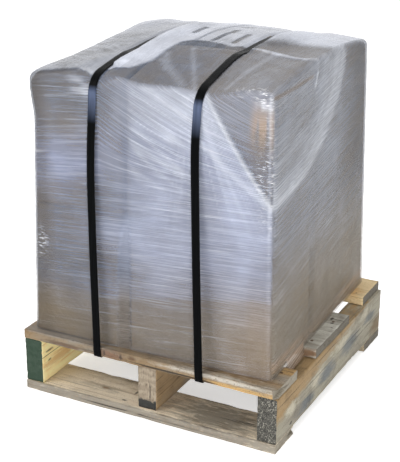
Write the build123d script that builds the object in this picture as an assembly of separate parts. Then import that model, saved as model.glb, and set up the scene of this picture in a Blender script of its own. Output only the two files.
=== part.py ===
"""Stretch wrapped pallet load: cartons stacked in pinwheel layers on a small two-way stringer pallet,
wound in stretch film and tied down to the deck with two plastic straps.

Millimetres, +Z up. X runs along the deck boards, Y along the stringers, and -Y is the front.
The origin is on the floor, under the middle of the pallet.
"""
import os
from math import atan2, copysign, cos, degrees, radians, sin, tan

from build123d import *

# Pallet timber
stringer_width = 38
stringer_height = 89
stringer_easing = 3
stringer_length = 530
middle_stringer_length = 516
top_board_thickness = 19
bottom_board_thickness = 18
board_arris = 1.5

# Pallet layout
pallet_width = 525
pallet_depth = 534
lead_board_width = 90
lead_board_nick = 9
middle_board_width = 170
middle_board_y = -5
back_board_width = 93
back_board_inset = 4
back_board_shortfall = 5
front_runner_width = 94
back_runner_width = 89
runner_corner = 12

# Cartons: two layers of four, each layer a pinwheel round an open middle, set a little askew on the pallet
carton_length = 270
carton_width = 172
carton_height = 254
carton_edge = 4
flap_seam_width = 2
flap_seam_depth = 1.5
lower_slack = (24, 29)
upper_slack = (8, 8)
load_x = -10.3
load_y = -1
load_turn = 1.6

# Stretch film: leaning sides, and a crowned top that is highest towards the back right
film_gap = 3.6
film_lean = 1.4
film_thickness = 1.2
film_clearance = 0.3
film_edge = 13
crown_rise = 27.5
crown_radius = 1350
crown_x = 40
crown_y = 36

# Straps, each a closed loop that leans a little to one side
strap_width = 16
strap_thickness = 0.8
strap_clearance = 0.7
strap_places = {"left": (-98, -111), "right": (112, 92)}

deck_under = bottom_board_thickness + stringer_height
deck_top = deck_under + top_board_thickness
deck_front = -pallet_depth / 2
deck_back = pallet_depth / 2
layer_seam = deck_top + carton_height
crown_height = layer_seam + carton_height + crown_rise
film_spread = 2 * (film_gap + film_thickness + carton_height * tan(radians(film_lean)))
film_base_width = carton_length + carton_width + lower_slack[0] + film_spread
film_base_depth = carton_length + carton_width + lower_slack[1] + film_spread
load_place = Pos(load_x, load_y, 0) * Rot(0, 0, load_turn)
turn = radians(load_turn)
load_half_depth = (film_base_depth * cos(turn) + film_base_width * abs(sin(turn))) / 2
reach = 2 * (pallet_width + pallet_depth + crown_height)


def block(x_range, y_range, z_range):
    """A box between two corners."""
    size = [high - low for low, high in (x_range, y_range, z_range)]
    middle = [(high + low) / 2 for low, high in (x_range, y_range, z_range)]
    return Pos(*middle) * Box(*size)


def stringer(x, length):
    """One planed 2 by 4 on edge, its long edges eased."""
    half = stringer_width / 2
    timber = block((x - half, x + half), (-length / 2, length / 2), (bottom_board_thickness, deck_under))
    return fillet(timber.edges().filter_by(Axis.Y), stringer_easing)


def board(y_front, width, z_low, thickness, shortfall=0):
    """One board laid across the stringers, its long edges worn round."""
    x_range = (-pallet_width / 2, pallet_width / 2 - shortfall)
    plank = block(x_range, (y_front, y_front + width), (z_low, z_low + thickness))
    return fillet(plank.edges().filter_by(Axis.X), board_arris)


def worn_corner(plank, x, y, size):
    """The board with the upright corner at x, y knocked off."""
    cutter = Pos(x, y, 0) * Rot(0, 0, 45) * Box(size * 2 ** 0.5, size * 2 ** 0.5, reach)
    return plank - cutter


def pallet():
    """The eight pieces of timber."""
    outer_x = (pallet_width - stringer_width) / 2
    lead = board(deck_front, lead_board_width, deck_under, top_board_thickness)
    front_runner = board(deck_front, front_runner_width, 0, bottom_board_thickness)
    runner_back = deck_front + front_runner_width
    back_y = deck_back - back_board_inset - back_board_width
    middle_y = middle_board_y - middle_board_width / 2
    return {
        "stringer_left": stringer(-outer_x, stringer_length),
        "stringer_middle": stringer(0, middle_stringer_length),
        "stringer_right": stringer(outer_x, stringer_length),
        "top_board_front": worn_corner(lead, pallet_width / 2, deck_front, lead_board_nick),
        "top_board_middle": board(middle_y, middle_board_width, deck_under, top_board_thickness),
        "top_board_back": board(
            back_y, back_board_width, deck_under, top_board_thickness, back_board_shortfall
        ),
        "bottom_board_front": worn_corner(front_runner, pallet_width / 2, runner_back, runner_corner),
        "bottom_board_back": board(
            deck_back - back_runner_width, back_runner_width, 0, bottom_board_thickness
        ),
    }


def load_body(inset):
    """The wrapped load's leaning sides and crowned top, moved in by inset, before its edges are rounded."""
    foot = Rectangle(film_base_width - 2 * inset, film_base_depth - 2 * inset)
    sides = load_place * extrude(Pos(0, 0, deck_top) * foot, crown_height, taper=film_lean)
    ball = Rot(90, 0, 0) * Sphere(crown_radius - inset)
    return sides & Pos(crown_x, crown_y, crown_height - crown_radius) * ball


def load_form(inset):
    """The wrapped load's outer shape, moved in by inset, its corners and its rim rounded alike."""
    body = load_body(inset)
    return fillet(body.edges() - body.edges().group_by(Axis.Z)[0], film_edge - inset)


def carton(x, y, z, along_x):
    """One taped carton, its scored edges rounded, with the seam between its long flaps."""
    size = (carton_length, carton_width) if along_x else (carton_width, carton_length)
    body = Box(*size, carton_height)
    body = fillet(body.edges(), carton_edge)
    seam_size = (carton_length, flap_seam_width) if along_x else (flap_seam_width, carton_length)
    seam = Box(*seam_size, flap_seam_depth)
    level = (carton_height - flap_seam_depth) / 2
    body = body - Pos(0, 0, level) * seam - Pos(0, 0, -level) * seam
    return load_place * Pos(x, y, z + carton_height / 2) * body


def crowned_carton(x, y, form, seam_floor, along_x):
    """An upper carton, its top pressed to the load's crown."""
    size = (carton_length, carton_width) if along_x else (carton_width, carton_length)
    height = crown_height - layer_seam
    body = Box(*size, height)
    upper = body.faces().sort_by(Axis.Z)[-1].edges()
    body = fillet(body.edges() - upper, carton_edge)
    place = load_place * Pos(x, y, layer_seam + height / 2)
    body = place * body & form
    seam_size = (carton_length, flap_seam_width) if along_x else (flap_seam_width, carton_length)
    seam = place * Box(*seam_size, height) - seam_floor
    return body - seam


def pinwheel(slack):
    """A layer's four cartons, from the load's own middle: name, x, y and whether the length runs along X."""
    half_x = (carton_length + carton_width + slack[0]) / 2
    half_y = (carton_length + carton_width + slack[1]) / 2
    long_half = carton_length / 2
    short_half = carton_width / 2
    return [
        ("front_left", short_half - half_x, long_half - half_y, False),
        ("front_right", half_x - long_half, short_half - half_y, True),
        ("back_right", half_x - short_half, half_y - long_half, False),
        ("back_left", long_half - half_x, half_y - short_half, True),
    ]


def cartons():
    """Both layers. The film has drawn the upper one together and pressed its top to a crown."""
    form = load_form(film_thickness + film_clearance)
    seam_floor = load_form(film_thickness + film_clearance + flap_seam_depth)
    pieces = {}
    for name, x, y, along_x in pinwheel(lower_slack):
        pieces[f"carton_lower_{name}"] = carton(x, y, deck_top, along_x)
    for name, x, y, along_x in pinwheel(upper_slack):
        pieces[f"carton_upper_{name}"] = crowned_carton(x, y, form, seam_floor, along_x)
    return pieces


def film():
    """The wound film as one open bottomed shell."""
    return load_form(0) - load_form(film_thickness)


def taut_line(x):
    """The convex outline that a taut strap takes round load and deck at x, with Y across and Z up."""
    load = Plane.YZ.to_local_coords(section(load_body(0), Plane.YZ.offset(x)))
    crown = Pos(0, 0, -x) * load.edges().sort_by(Axis.Y)[-1]
    front_rim, back_rim = crown.vertices().sort_by(Axis.X)
    back_edge = deck_back - back_board_inset
    deck = Polyline(
        front_rim,
        (min(deck_front, load_y - load_half_depth), deck_top),
        (deck_front, deck_under),
        (back_edge, deck_under),
        (max(back_edge, load_y + load_half_depth), deck_top),
        back_rim,
    )
    outline = make_face([crown, deck])
    outline = fillet(outline.vertices().sort_by(Axis.Y)[-2:], film_edge)
    return fillet(outline.vertices().filter_by(lambda corner: corner.Y < layer_seam), board_arris)


def strap(foot_x, top_x):
    """One closed band: up from the deck's edge, over the crown, down the back and under the deck."""
    highest_x = top_x + copysign(strap_width / 2, crown_x - top_x)
    outline = taut_line(highest_x)
    band = offset(outline, strap_clearance + strap_thickness) - offset(outline, strap_clearance)
    loop = extrude(Plane.YZ * band, strap_width / 2, both=True)
    middle_z = (deck_under + crown_height) / 2
    lean = degrees(atan2(top_x - foot_x, crown_height - deck_under))
    return Pos((foot_x + top_x) / 2, 0, middle_z) * Rot(0, lean, 0) * Pos(0, 0, -middle_z) * loop


straps = {f"strap_{side}": strap(*places) for side, places in strap_places.items()}
parts = pallet() | cartons() | {"stretch_film": film()} | straps
os.makedirs("parts", exist_ok=True)
for name, solid in parts.items():
    export_step(solid, f"parts/{name}.step")
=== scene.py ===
"""Stretch wrapped pallet load: worn timber, kraft cartons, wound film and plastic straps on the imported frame.

Metres, +Z up, -Y to the front, as in the frame.
"""
from math import ceil, cos, pi, radians, sin, tan

import bpy
import numpy as np
from bpy.props import FloatProperty, FloatVectorProperty, IntProperty, PointerProperty
from mathutils import Matrix, Vector


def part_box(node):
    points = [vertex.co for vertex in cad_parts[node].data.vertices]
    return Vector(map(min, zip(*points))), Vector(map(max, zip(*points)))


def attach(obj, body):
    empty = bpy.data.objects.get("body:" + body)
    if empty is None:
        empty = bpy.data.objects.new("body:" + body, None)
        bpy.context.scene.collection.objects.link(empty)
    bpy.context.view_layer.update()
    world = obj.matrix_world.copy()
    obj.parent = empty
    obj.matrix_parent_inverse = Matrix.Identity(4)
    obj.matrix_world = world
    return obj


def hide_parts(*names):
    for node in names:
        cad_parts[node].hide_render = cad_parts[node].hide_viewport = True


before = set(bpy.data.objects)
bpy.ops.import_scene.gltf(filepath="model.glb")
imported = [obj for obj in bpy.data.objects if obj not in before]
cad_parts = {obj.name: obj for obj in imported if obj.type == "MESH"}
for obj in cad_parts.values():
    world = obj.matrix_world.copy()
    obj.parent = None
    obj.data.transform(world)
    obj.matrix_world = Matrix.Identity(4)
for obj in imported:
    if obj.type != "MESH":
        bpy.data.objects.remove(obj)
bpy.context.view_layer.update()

bl_info = {
    "name": "Wrapped Pallet Load",
    "version": (1, 0, 0),
    "blender": (4, 5, 0),
    "location": "View3D > Sidebar > Pallet Load",
    "description": "Dresses the packed pallet load in worn timber, kraft board, stretch film and strapping",
    "category": "Object",
}

# Places read from the frame
stringers = ("stringer_left", "stringer_middle", "stringer_right")
top_boards = ("top_board_front", "top_board_middle", "top_board_back")
bottom_boards = ("bottom_board_front", "bottom_board_back")
carton_nodes = [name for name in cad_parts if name.startswith("carton_")]
deck_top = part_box("top_board_front")[1][2]
slot_front, slot_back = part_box("top_board_front")[1][1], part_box("top_board_middle")[0][1]
film_low, film_high = (np.array(corner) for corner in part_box("stretch_film"))
load_middle = (film_low[:2] + film_high[:2]) / 2

# The load's turn on the pallet, and the rounding of film and cartons
load_turn = radians(1.6)
film_edge = 0.013
carton_edge = 0.004

# How deep the film's right foot hangs into the slot between two boards, and how far it stands out there
slot_drop = 0.014
slot_lip = 0.006

# How far cartons and film stay below the straps' outer line
carton_press = 0.0042
film_press = 0.0016

# For each strap, its sideways bow at some heights, and the Y where it starts to sink into the top
strap_bows = {
    "strap_left": ((0.107, 0.30, 0.47, 0.591, 0.64), (0.0, -0.0055, -0.0085, -0.002, 0.0)),
    "strap_right": ((0.107, 0.30, 0.50, 0.57, 0.63), (0.0, -0.005, -0.0085, -0.008, 0.0)),
}
strap_sinks = {"strap_left": -0.13, "strap_right": -0.09}

# Lines on the film, across and up on a side, X and Y on the top
rolled_edge = ((0.103, 0.622), (0.150, 0.548), (0.190, 0.492), (0.232, 0.438))
roll_tail = ((0.094, 0.538), (0.165, 0.484), (0.232, 0.438))
brow_crease = ((-0.204, 0.583), (-0.121, 0.597))
rim_glint = ((-0.040, 0.632), (-0.052, 0.606))
top_crease = (
    (0.003, -0.082), (0.091, -0.065), (0.132, -0.060), (0.162, -0.046), (0.209, -0.052), (0.220, -0.029),
)
top_strokes = (
    ((-0.051, 0.026), (-0.054, 0.080)), ((0.010, -0.017), (0.010, 0.045)), ((0.014, 0.047), (0.012, 0.079)),
    ((0.053, -0.022), (0.051, 0.046)), ((-0.001, 0.129), (0.010, 0.155)),
)
top_rays = (
    (0.009, ((-0.001, -0.077), (0.085, -0.235))), (0.015, ((-0.03, -0.138), (0.05, -0.215))),
    (0.013, ((-0.035, -0.11), (-0.005, -0.17))), (0.010, ((0.15, -0.05), (0.13, -0.21))),
)


def square_halves(low, high, edge):
    """Half sizes along its own axes of an upright block that stands turned with the load."""
    c, s = cos(load_turn), sin(load_turn)
    spread = (np.array(high)[:2] - np.array(low)[:2]) / 2 - edge
    return np.linalg.solve(((c, s), (s, c)), spread) + edge


film_foot = square_halves(film_low, film_high, film_edge)


def turned(places, angle, middle=(0, 0)):
    """Places turned about a middle, seen from above; directions turn about nothing."""
    c, s = cos(angle), sin(angle)
    moved = np.array(places, float)
    moved[:, :2] = (moved[:, :2] - middle) @ np.array(((c, s), (-s, c))) + middle
    return moved


def srgb(red, green, blue):
    """A colour as read off a swatch, 0 to 255, turned into the linear numbers that shaders take."""
    channels = np.array((red, green, blue)) / 255
    linear = np.where(channels <= 0.04045, channels / 12.92, ((channels + 0.055) / 1.055) ** 2.4)
    return tuple(float(c) for c in linear)


def colour_setting(name, description, *swatch):
    """A colour that a user may change."""
    return FloatVectorProperty(
        name=name, description=description, subtype="COLOR", min=0, max=1, default=srgb(*swatch)
    )


def length_setting(name, description, metres, least=0):
    """A length that a user may change."""
    return FloatProperty(
        name=name, description=description, subtype="DISTANCE", unit="LENGTH", precision=4, min=least,
        default=metres,
    )


def angle_setting(name, description, degrees):
    """An angle that a user may change."""
    return FloatProperty(
        name=name, description=description, subtype="ANGLE", unit="ROTATION", default=radians(degrees)
    )


def count_setting(name, description, count, least):
    """A number of mesh rows or columns that a user may change."""
    return IntProperty(name=name, description=description, subtype="UNSIGNED", min=least, default=count)


def strength_setting(name, description, strength, subtype="FACTOR"):
    """The strength of a light that a user may change."""
    return FloatProperty(name=name, description=description, subtype=subtype, min=0, default=strength)


class TimberSettings(bpy.types.PropertyGroup):
    """Sizes and colours of the pallet timber."""

    mesh_step: length_setting("Mesh step", "Spacing of the points along a board", 0.006)
    edge_wear: length_setting("Edge wear", "How far long edges are rubbed down at most", 0.0045)
    grain_depth: length_setting("Grain depth", "How deep weather has opened the grain", 0.0005)
    nail_head: length_setting("Nail head", "Width of a nail head", 0.007)
    # Partly painted light: fresh pine made brighter than the wood itself, to stand in for sun on the left
    # stringer's inner side.
    sunlit_fresh_pine: colour_setting("Fresh pine", "Timber that the sun has not reached", 255, 244, 186)
    tan_pine: colour_setting("Tan pine", "Ordinary pallet timber", 190, 166, 128)
    dark_grain: colour_setting("Dark grain", "Late wood lines and stains", 112, 88, 60)
    weathered: colour_setting("Weathered", "Timber gone grey outdoors", 138, 131, 118)
    end_paint: colour_setting("End paint", "Green paint on the left stringer's end", 36, 58, 42)
    nail_steel: colour_setting("Nail heads", "Rusted nail heads", 62, 50, 42)


class CartonSettings(bpy.types.PropertyGroup):
    """Colours and sizes of the kraft board."""

    kraft: colour_setting("Kraft", "Brown board", 130, 112, 84)
    kraft_dark: colour_setting("Dark kraft", "Board in stains and along the flutes", 102, 88, 66)
    flute_pitch: length_setting("Flute pitch", "Spacing of the flutes that print through the liner", 0.0076)


class FilmSettings(bpy.types.PropertyGroup):
    """Sizes and colours of the stretch film."""

    columns: count_setting("Columns", "Mesh columns on each side of the load", 128, 16)
    rows: count_setting("Rows", "Mesh rows from deck to rim", 138, 16)
    corner_columns: count_setting("Corner columns", "Mesh columns round a corner", 5, 2)
    edge_radius: length_setting("Edge radius", "Rounding of the corners and of the rim", film_edge)
    side_lean: angle_setting("Side lean", "Lean of the sides", 1.4)
    crown_radius: length_setting("Crown radius", "Radius of the crowned top", 1.35)
    crown_x: length_setting("Crown X", "Highest place", 0.040, -1)
    crown_y: length_setting("Crown Y", "Highest place", 0.036, -1)
    wrinkle: length_setting("Wrinkle", "Height of the wrinkles", 0.0009)
    roll_width: length_setting("Roll width", "Width of the film as it came off the roll", 0.5)
    # The white tone is also the colour of the painted highlights on the film's folds, brows and front right
    # corner.
    white_tone: colour_setting("White film", "Many layers of film in plain light", 205, 209, 219)
    sky_tone: colour_setting("Bluish film", "Film that gives back the sky", 160, 167, 191)
    blue_tone: colour_setting("Blue film", "Band of film that gives back clear sky", 150, 163, 204)
    dusk_tone: colour_setting("Dull film", "Few layers of film that give back little light", 114, 126, 149)
    warm_tone: colour_setting("Warm film", "Film that lets the board's colour through", 138, 132, 125)
    board_tone: colour_setting("Bright board", "Board that shows through a torn layer", 212, 184, 160)
    glint_tone: colour_setting("Glints", "Thin lines where taut film catches the light", 214, 219, 232)


class StrapSettings(bpy.types.PropertyGroup):
    """Sizes and colours of the straps."""

    width: length_setting("Width", "Width of the strap", 0.016)
    thickness: length_setting("Thickness", "Thickness of the strap", 0.0008)
    step: length_setting("Mesh step", "Spacing of the points along a strap", 0.004)
    rim_bend: length_setting("Rim bend", "Length to either side of the rim over which a strap bends", 0.034)
    colour: colour_setting("Strap", "Black plastic", 6, 7, 8)
    scuff: colour_setting("Scuff", "Scuffed plastic", 18, 20, 22)
    # Painted sheen: a bluish reflection painted into the strap's colour where it bends over the front rim.
    painted_sheen: colour_setting("Rubbed", "Plastic that the rim has rubbed", 100, 112, 140)


class StageSettings(bpy.types.PropertyGroup):
    """Floor, light and camera."""

    floor: colour_setting("Floor", "Pale floor", 250, 250, 250)
    floor_glow: strength_setting("Floor glow", "White that the camera sees on the floor", 0.55)
    sky: strength_setting("Sky", "Strength of the light from all round", 0.5)
    key: strength_setting("Key", "Lamp at the front left", 46, "POWER")
    top: strength_setting("Top", "Lamp above the load", 34, "POWER")
    low: strength_setting("Low", "Lamp low in front", 33, "POWER")
    azimuth: angle_setting("Azimuth", "Camera bearing", 27.30)
    elevation: angle_setting("Elevation", "Camera height", 21.38)
    roll: angle_setting("Roll", "Camera roll", 0.25)
    place: FloatVectorProperty(
        name="Place", description="Camera place", subtype="TRANSLATION", default=(0.98865, -1.96446, 1.14170)
    )
    lens: FloatProperty(name="Lens", description="Focal length", unit="CAMERA", default=94.87, min=1)


def smooth(low, high, value):
    """0 below low, 1 above high, with an S shaped step between."""
    t = np.clip((value - low) / (high - low), 0, 1)
    return t * t * (3 - 2 * t)


def between(value, start, full, fade, end):
    """0 up to start, 1 from full to fade, and 0 again from end on."""
    return smooth(start, full, value) * smooth(end, fade, value)


def hump(value, middle, half_width):
    """1 at the middle, falling smoothly to 0 at half_width to either side."""
    return 1 - smooth(0, half_width, np.abs(value - middle))


def spot(x, y, middle, reach):
    """1 at a place, falling smoothly to 0 at its reach along each axis."""
    return hump(x, middle[0], reach[0]) * hump(y, middle[1], reach[1])


def ripple(u, v, seed):
    """Smooth seeded noise from 0 to 1, with features about one unit across."""
    size = 64
    table = np.random.default_rng(seed).random((size, size))
    u_cell, v_cell = np.floor(u).astype(int), np.floor(v).astype(int)
    u_part, v_part = smooth(0, 1, u - u_cell), smooth(0, 1, v - v_cell)

    def corner(i, j):
        return table[(u_cell + i) % size, (v_cell + j) % size]

    near = corner(0, 0) * (1 - u_part) + corner(1, 0) * u_part
    far = corner(0, 1) * (1 - u_part) + corner(1, 1) * u_part
    return near * (1 - v_part) + far * v_part


def crest(u, v, seed, sharpness=3):
    """Ridged noise from 0 to 1: thin raised folds on a level ground."""
    return (1 - np.abs(2 * ripple(u, v, seed) - 1)) ** sharpness


def along_line(x, y, points):
    """Distance of each place from a line of points."""
    best = np.full(np.shape(x), np.inf)
    for (x0, y0), (x1, y1) in zip(points, points[1:]):
        dx, dy = x1 - x0, y1 - y0
        t = np.clip(((x - x0) * dx + (y - y0) * dy) / (dx * dx + dy * dy), 0, 1)
        best = np.minimum(best, np.hypot(x - x0 - t * dx, y - y0 - t * dy))
    return best


def fold(x, y, points, width):
    """A rounded ridge along a line of points: 1 on the line, 0 at its width to either side."""
    return np.clip(1 - (along_line(x, y, points) / width) ** 2, 0, 1)


def tinted(colour, share, target):
    """Colours taken towards a target by a share of their own at each place."""
    return colour + np.clip(share, 0, 1)[:, None] * (target - colour)


class Nodes:
    """A shader's node tree, with short calls that add to it."""

    def __init__(self, owner):
        owner.use_nodes = True
        self.tree = owner.node_tree

    def feed(self, socket, value):
        """Links an input or sets it; colours get full alpha."""
        if isinstance(value, bpy.types.NodeSocket):
            self.tree.links.new(value, socket)
        else:
            socket.default_value = (*value[:3], 1.0) if socket.type == "RGBA" else value

    def add(self, kind, inputs=None, **settings):
        """A new node with its settings made and its inputs fed."""
        made = self.tree.nodes.new(f"ShaderNode{kind}")
        for name, value in settings.items():
            setattr(made, name, value)
        for name, value in (inputs or {}).items():
            self.feed(made.inputs[name], value)
        return made

    def mix(self, factor, first, second, mode="MIX"):
        """Two colours mixed by a factor."""
        return self.add("Mix", {0: factor, 6: first, 7: second}, data_type="RGBA", blend_type=mode).outputs[2]

    def math(self, operation, *numbers):
        """A sum on two or more numbers, from the left."""
        total = numbers[0]
        for number in numbers[1:]:
            total = self.add("Math", {0: total, 1: number}, operation=operation).outputs[0]
        return total

    def vector(self, operation, output, first, *second):
        """A sum on vectors."""
        inputs = dict(enumerate((first, *second)))
        return self.add("VectorMath", inputs, operation=operation).outputs[output]

    def ramp(self, value, low, high, to_low=0.0, to_high=1.0):
        """A number taken from one range to another and held inside it."""
        inputs = {"Value": value, "From Min": low, "From Max": high, "To Min": to_low, "To Max": to_high}
        return self.add("MapRange", inputs).outputs["Result"]

    def noise(self, vector, scale, detail, roughness, distortion=0.0, rotation=(0, 0, 0)):
        """Noise from 0 to 1; a scale for each axis stretches it."""
        if not isinstance(scale, (int, float)):
            inputs = {"Vector": vector, "Scale": scale, "Rotation": rotation}
            vector, scale = self.add("Mapping", inputs).outputs["Vector"], 1.0
        names = ("Vector", "Scale", "Detail", "Roughness", "Distortion")
        inputs = dict(zip(names, (vector, scale, detail, roughness, distortion)))
        return self.add("TexNoise", inputs).outputs["Fac"]

    def seen(self):
        """1 where the camera, a shiny surface or a clear one looks, 0 where only light bounces."""
        path = self.add("LightPath").outputs
        return self.math("MAXIMUM", path["Is Camera Ray"], path["Is Glossy Ray"], path["Is Transmission Ray"])


class Look(Nodes):
    """A material: its node tree, its main shader and the coordinates of the piece that wears it."""

    def __init__(self, name):
        self.material = bpy.data.materials.new(name)
        super().__init__(self.material)
        self.shader = self.tree.nodes["Principled BSDF"]
        self.places = self.add("TexCoord").outputs["Object"]

    def wear(self, **inputs):
        """Feeds the main shader's inputs, named with underscores for spaces."""
        for name, value in inputs.items():
            self.feed(self.shader.inputs[name.replace("_", " ")], value)

    def bump(self, height, strength, distance):
        """Gives the main shader a bump from a height."""
        inputs = {"Height": height, "Strength": strength, "Distance": distance}
        self.wear(Normal=self.add("Bump", inputs).outputs["Normal"])

    def stain(self, ragged, colour, place, tone, reach, strength=0.9):
        """A colour with a ragged stain over it, centred on a place and with its own reach along each axis."""
        away = self.vector("SUBTRACT", 0, self.places, place)
        length = self.vector("LENGTH", "Value", self.vector("DIVIDE", 0, away, reach))
        wavy = self.math("ADD", length, self.ramp(ragged, 0.25, 0.75, -0.55, 0.55))
        return self.mix(self.ramp(wavy, 1.0, 0.4, 0.0, strength), colour, tone)


def new_piece(name, vertices, faces, materials, nodes=(), face_materials=None):
    """A mesh piece that rides on the load and takes the place of the named CAD nodes."""
    mesh = bpy.data.meshes.new(name)
    mesh.from_pydata([tuple(v) for v in vertices], [], faces)
    for material in materials:
        mesh.materials.append(material)
    if face_materials is not None:
        mesh.polygons.foreach_set("material_index", face_materials)
    mesh.polygons.foreach_set("use_smooth", [True] * len(mesh.polygons))
    mesh.update()
    piece = bpy.data.objects.new(name, mesh)
    bpy.context.scene.collection.objects.link(piece)
    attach(piece, "root")
    if nodes:
        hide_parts(*nodes)
    return piece


def ring_faces(first, second, count, flip=False):
    """Quads between two closed rings of points, given the number of each ring's first point."""
    quads = []
    for j in range(count):
        k = (j + 1) % count
        quad = (first + j, first + k, second + k, second + j)
        quads.append(quad[::-1] if flip else quad)
    return quads


def section_outline(width, height, radii, step, arc_steps=4):
    """A rectangle's outline with its own radius at each corner."""
    signs = np.array(((1, 1), (-1, 1), (-1, -1), (1, -1)))
    half = np.array((width, height)) / 2

    def on_arc(k, angle):
        return signs[k] * (half - radii[k]) + radii[k] * np.array((cos(angle), sin(angle)))

    points = []
    for k in range(4):
        turn = (k + 1) * pi / 2
        points += [on_arc(k, a) for a in np.linspace(k * pi / 2, turn, arc_steps + 1)]
        start, end = points[-1], on_arc((k + 1) % 4, turn)
        steps = max(3, ceil((width, height)[k % 2] / step))
        points += [start + (end - start) * t for t in np.linspace(0, 1, steps + 1)[1:-1]]
    return np.array(points)


def timber_mesh(low, high, along, seed, settings, nick=None, chips=6):
    """A worn board: worn-down edges, opened grain, chips and rough sawn ends, all inside the CAD board.

    Returns its points, its faces and, for each face, 0 on the sides, 1 on the first end and 2 on the other.
    """
    rng = np.random.default_rng(seed)
    low, high = np.array(low), np.array(high)
    across = 1 - along
    length, width, height = (high - low)[[along, across, 2]]
    stations = ceil(length / settings.mesh_step) + 1
    places = np.linspace(0, length, stations)
    corners = np.arange(4)[None, :] * 7.0 + 0.5
    rub = ripple(places[:, None] / 0.05, corners, seed)
    fine_rub = ripple(places[:, None] / 0.014, corners, seed + 1)
    radii = 0.0008 + settings.edge_wear * (0.55 * rub ** 2 + 0.45 * fine_rub ** 3)
    for _ in range(chips):
        where, size = rng.uniform(0, length), rng.uniform(0.008, 0.022)
        corner = rng.integers(4)
        radii[:, corner] += rng.uniform(0.002, 0.005) * hump(places, where, size)
    radii = np.minimum(radii, 0.45 * min(width, height))
    rings = np.array([section_outline(width, height, r, settings.mesh_step) for r in radii])
    count = rings.shape[1]
    girth = np.linspace(0, 2 * (width + height), count, endpoint=False)
    tangent = np.roll(rings, -1, axis=1) - np.roll(rings, 1, axis=1)
    tangent /= np.linalg.norm(tangent, axis=2, keepdims=True)
    outward = np.stack((tangent[..., 1], -tangent[..., 0]), axis=2)
    u, v = np.broadcast_arrays(places[:, None], girth[None, :])
    depth = settings.grain_depth * (
        ripple(u / 0.07, v / 0.003, seed + 2) + 0.8 * ripple(u / 0.13, v / 0.03, seed + 3)
        + 2.4 * crest(u / 0.16, v / 0.011, seed + 4, 14)
    )
    rings = rings - outward * depth[..., None]
    rough = 0.0012 * ripple(girth / 0.004, girth * 0 + 0.5, seed + 5)
    u = u.copy()
    u[0] += rough
    u[-1] -= np.roll(rough, count // 3)
    if nick:
        size, side = nick
        u = np.minimum(u, length - np.maximum(0, size - rings[..., 0] * side - width / 2))
    points = np.zeros((stations, count, 3))
    points[..., along] = low[along] + u
    points[..., across] = (low[across] + high[across]) / 2 + rings[..., 0]
    points[..., 2] = (low[2] + high[2]) / 2 + rings[..., 1]

    vertices = list(points.reshape(-1, 3))
    flip = along == 0
    faces = []
    for i in range(stations - 1):
        faces += ring_faces(i * count, (i + 1) * count, count, flip)
    kinds = [0] * len(faces)
    for end, station in ((1, 0), (2, stations - 1)):
        outline, ring = points[station], station * count
        middle = outline.mean(axis=0)
        inward, outer_first = (1, not flip) if end == 1 else (-1, flip)
        for share in (0.9, 0.72, 0.5, 0.25):
            inner = middle + (outline - middle) * share
            relief = 0.0007 * ripple(inner[:, across] / 0.004, inner[:, 2] / 0.004, seed + 6 + end)
            inner[:, along] = outline[:, along] + inward * relief
            faces += ring_faces(ring, len(vertices), count, outer_first)
            ring = len(vertices)
            vertices.extend(inner)
        cap = list(range(ring, ring + count))
        faces.append(cap[::-1] if outer_first else cap)
        kinds += [end] * (len(faces) - len(kinds))
    return vertices, faces, kinds


def timber_material(name, along, light, dark, grey, weather, stains, upper, seed):
    """Sawn pine: grain lines along the board, greyed patches, dark flecks, cracks and the given stains."""
    look = Look(name)
    shifted = look.vector("ADD", 0, look.places, (seed, seed * 1.7, seed * 0.6))

    def lengthwise(stretch, across, *texture):
        scale = (stretch, across, across) if along == 0 else (across, stretch, across)
        return look.noise(shifted, scale, *texture)

    lines = lengthwise(5, 260, 5, 0.65)
    bands = lengthwise(2.4, 46, 3, 0.5, 0.8)
    patches = lengthwise(7, 22, 6, 0.62, 0.5)
    cracks = lengthwise(3, 300, 2, 0.5)
    ragged = lengthwise(34, 170, 6, 0.72, 0.4)
    flecks = look.noise(shifted, 420, 2, 0.5)
    clouds = look.noise(shifted, 16, 5, 0.65, 0.6)
    colour = look.mix(look.ramp(lines, 0.40, 0.64), light, dark)
    colour = look.mix(look.ramp(bands, 0.42, 0.66, 0.0, 0.75), light, colour)
    colour = look.mix(look.ramp(patches, 0.62 - 0.4 * weather, 0.86 - 0.5 * weather), colour, grey)
    if upper:
        tone, low, high, slope = upper
        apart = look.add("SeparateXYZ", {0: look.places}).outputs
        height = look.math("ADD", apart["Z"], look.math("MULTIPLY", apart["Y"], slope),
                           look.ramp(ragged, 0.25, 0.75, -0.016, 0.016))
        colour = look.mix(look.ramp(height, low, high, 0.0, 0.8), colour, tone)
    for stain in stains:
        colour = look.stain(ragged, colour, *stain)
    colour = look.mix(look.ramp(lines, 0.62, 0.72, 0.0, 0.75), colour, dark, "MULTIPLY")
    colour = look.mix(look.ramp(flecks, 0.61, 0.69, 0.0, 0.7), colour, dark)
    colour = look.mix(look.ramp(clouds, 0.50, 0.74, 0.0, 0.5), colour, dark, "MULTIPLY")
    colour = look.mix(look.ramp(cracks, 0.65, 0.71, 0.0, 0.9), colour, srgb(44, 36, 28))
    look.wear(Base_Color=colour, Roughness=look.ramp(lines, 0.2, 0.8, 0.62, 0.86))
    relief = look.math("SUBTRACT", lines, look.ramp(cracks, 0.64, 0.72, 0.0, 1.2))
    look.bump(look.math("ADD", relief, look.math("MULTIPLY", flecks, 0.4)), 0.8, 0.0009)
    return look.material


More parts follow.
